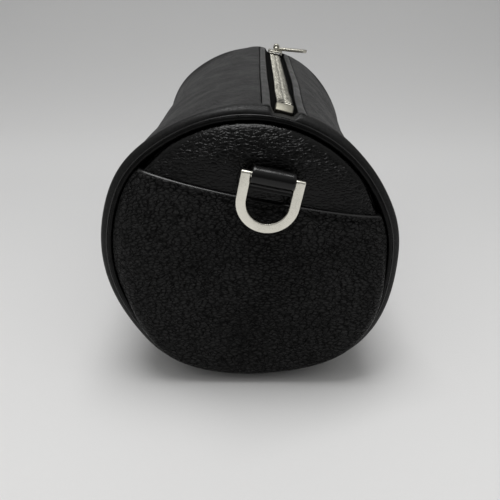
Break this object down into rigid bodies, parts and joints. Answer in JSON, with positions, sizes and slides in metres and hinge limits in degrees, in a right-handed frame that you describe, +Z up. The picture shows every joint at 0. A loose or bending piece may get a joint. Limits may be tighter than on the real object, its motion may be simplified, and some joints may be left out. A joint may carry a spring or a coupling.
{
  "type": "barrel bag",
  "caption": "Small leather barrel bag that opens by a zip along its top, with piped, domed ends that each have a slip pocket and a hanging D-ring.",
  "frame": {"origin": "under the middle of the bag, on the surface that it lies on", "axes": "+Y along the barrel to its far end, +X to the right seen from the near end, +Z up"},
  "size_m": [0.1297, 0.2406, 0.1333],
  "materials": {
    "leather_grain": "pebbled black leather, satin",
    "leather_smooth": "smooth black leather, semi-gloss",
    "lining_cloth": "woven black lining",
    "zip_tape": "woven black zip tape",
    "zip_metal": "polished pale nickel",
    "foam": "dense foam sheet",
    "piping_cord": "twisted cotton cord",
    "ring_metal": "satin nickel"
  },
  "bodies": {
    "barrel": {"body_panel": "leather_grain", "near_end_panel": "leather_grain", "far_end_panel": "leather_grain", "near_pocket_panel": "leather_grain", "far_pocket_panel": "leather_grain", "zip_strip_near": "leather_smooth", "zip_strip_far": "leather_smooth", "near_piping": "leather_smooth", "far_piping": "leather_smooth", "near_ring_loop": "leather_smooth", "far_ring_loop": "leather_smooth", "body_lining": "lining_cloth", "near_end_lining": "lining_cloth", "far_end_lining": "lining_cloth", "zip_tape_near": "zip_tape", "zip_tape_far": "zip_tape", "zip_teeth_near": "zip_metal", "zip_teeth_far": "zip_metal", "zip_box": "zip_metal", "zip_top_stops": "zip_metal", "near_end_stiffener": "foam", "far_end_stiffener": "foam", "near_piping_cord": "piping_cord", "far_piping_cord": "piping_cord"},
    "lip_left": {"lip_panel_left": "leather_grain", "lip_lining_left": "lining_cloth", "zip_strip_left": "leather_smooth", "zip_tape_left": "zip_tape", "zip_teeth_left": "zip_metal"},
    "lip_right": {"lip_panel_right": "leather_grain", "lip_lining_right": "lining_cloth", "zip_strip_right": "leather_smooth", "zip_tape_right": "zip_tape", "zip_teeth_right": "zip_metal"},
    "slider": {"zip_slider": "zip_metal"},
    "pull": {"zip_pull": "zip_metal"},
    "near_ring": {"near_d_ring": "ring_metal"},
    "far_ring": {"far_d_ring": "ring_metal"}
  },
  "joints": [
    {"name": "mouth_left", "type": "hinge", "parent": "barrel", "child": "lip_left", "pos_m": [-0.06239, 0, 0.07366], "axis": [0, -1, 0], "range_deg": [0, 22]},
    {"name": "mouth_right", "type": "hinge", "parent": "barrel", "child": "lip_right", "pos_m": [0.06041, 0, 0.04343], "axis": [0, 1, 0], "range_deg": [0, 22]},
    {"name": "zip_slide", "type": "slide", "parent": "barrel", "child": "slider", "axis": [0, -1, 0], "range_m": [0, 0.1715]},
    {"name": "pull_swing", "type": "hinge", "parent": "slider", "child": "pull", "pos_m": [0.01639, 0.08795, 0.13072], "axis": [0, -1, 0], "range_deg": [0, 168]},
    {"name": "near_ring_swing", "type": "hinge", "parent": "barrel", "child": "near_ring", "pos_m": [0.00992, -0.1165, 0.10434], "axis": [-0.981, 0, 0.1942], "range_deg": [0, 160]},
    {"name": "far_ring_swing", "type": "hinge", "parent": "barrel", "child": "far_ring", "pos_m": [0.00992, 0.1165, 0.10434], "axis": [0.981, 0, -0.1942], "range_deg": [0, 160]}
  ],
  "couplings": [
    {"joint": "mouth_right", "follows": "mouth_left", "ratio": 1}
  ]
}
